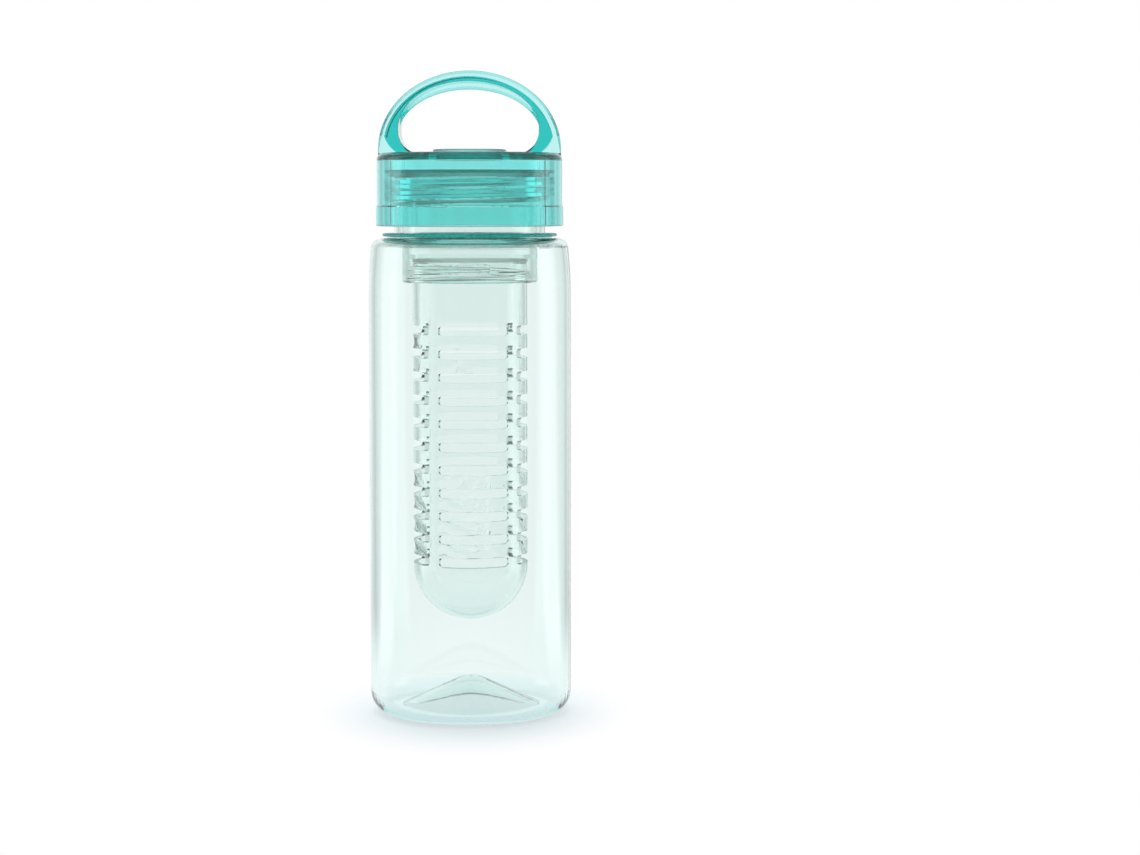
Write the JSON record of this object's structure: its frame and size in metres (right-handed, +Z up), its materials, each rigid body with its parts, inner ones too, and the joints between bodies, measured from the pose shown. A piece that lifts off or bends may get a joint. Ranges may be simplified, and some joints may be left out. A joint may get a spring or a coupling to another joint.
{
  "type": "fruit infuser water bottle",
  "caption": "Clear fruit infuser water bottle with a screw cap, a carrying loop handle and a slotted infuser basket that hangs in the neck from a flanged collar.",
  "frame": {"origin": "centre of the plane that the bottle stands on", "axes": "+Z up along the bottle's axis; the loop handle lies in the XZ plane, so the front view looks along +Y"},
  "size_m": [0.075, 0.075, 0.2385],
  "materials": {
    "bottle_clear": "polished clear plastic with a faint aqua tint",
    "insert_clear": "polished clear plastic",
    "cap_aqua": "polished translucent aqua plastic",
    "disc_pale": "smooth pale plastic",
    "ring_aqua": "smooth dark aqua elastomer",
    "silicone_clear": "translucent silicone"
  },
  "bodies": {
    "bottle": {"bottle_body": "bottle_clear", "neck_ring": "ring_aqua", "infuser_collar": "insert_clear", "collar_seal": "silicone_clear"},
    "gasket": {"cap_gasket": "silicone_clear"},
    "lid": {"cap_shell": "cap_aqua", "cap_disc": "disc_pale", "inner_cap": "cap_aqua"},
    "washer": {"basket_seal": "silicone_clear"},
    "basket": {"infuser_basket": "insert_clear"}
  },
  "joints": [
    {"name": "lid_rise", "type": "slide", "parent": "bottle", "child": "gasket", "axis": [0, 0, 1], "range_m": [0, 0.006]},
    {"name": "lid_turn", "type": "hinge", "parent": "gasket", "child": "lid", "pos_m": [0, 0, 0.195], "axis": [0, 0, 1], "range_deg": [0, 540]},
    {"name": "basket_drop", "type": "slide", "parent": "bottle", "child": "washer", "axis": [0, 0, -1], "range_m": [0, 0.00375]},
    {"name": "basket_turn", "type": "hinge", "parent": "washer", "child": "basket", "pos_m": [0, 0, 0.164], "axis": [0, 0, -1], "range_deg": [0, 450]}
  ],
  "couplings": [
    {"joint": "lid_rise", "follows": "lid_turn", "m_per_rad": 0.0006366},
    {"joint": "basket_drop", "follows": "basket_turn", "m_per_rad": 0.0004774}
  ]
}
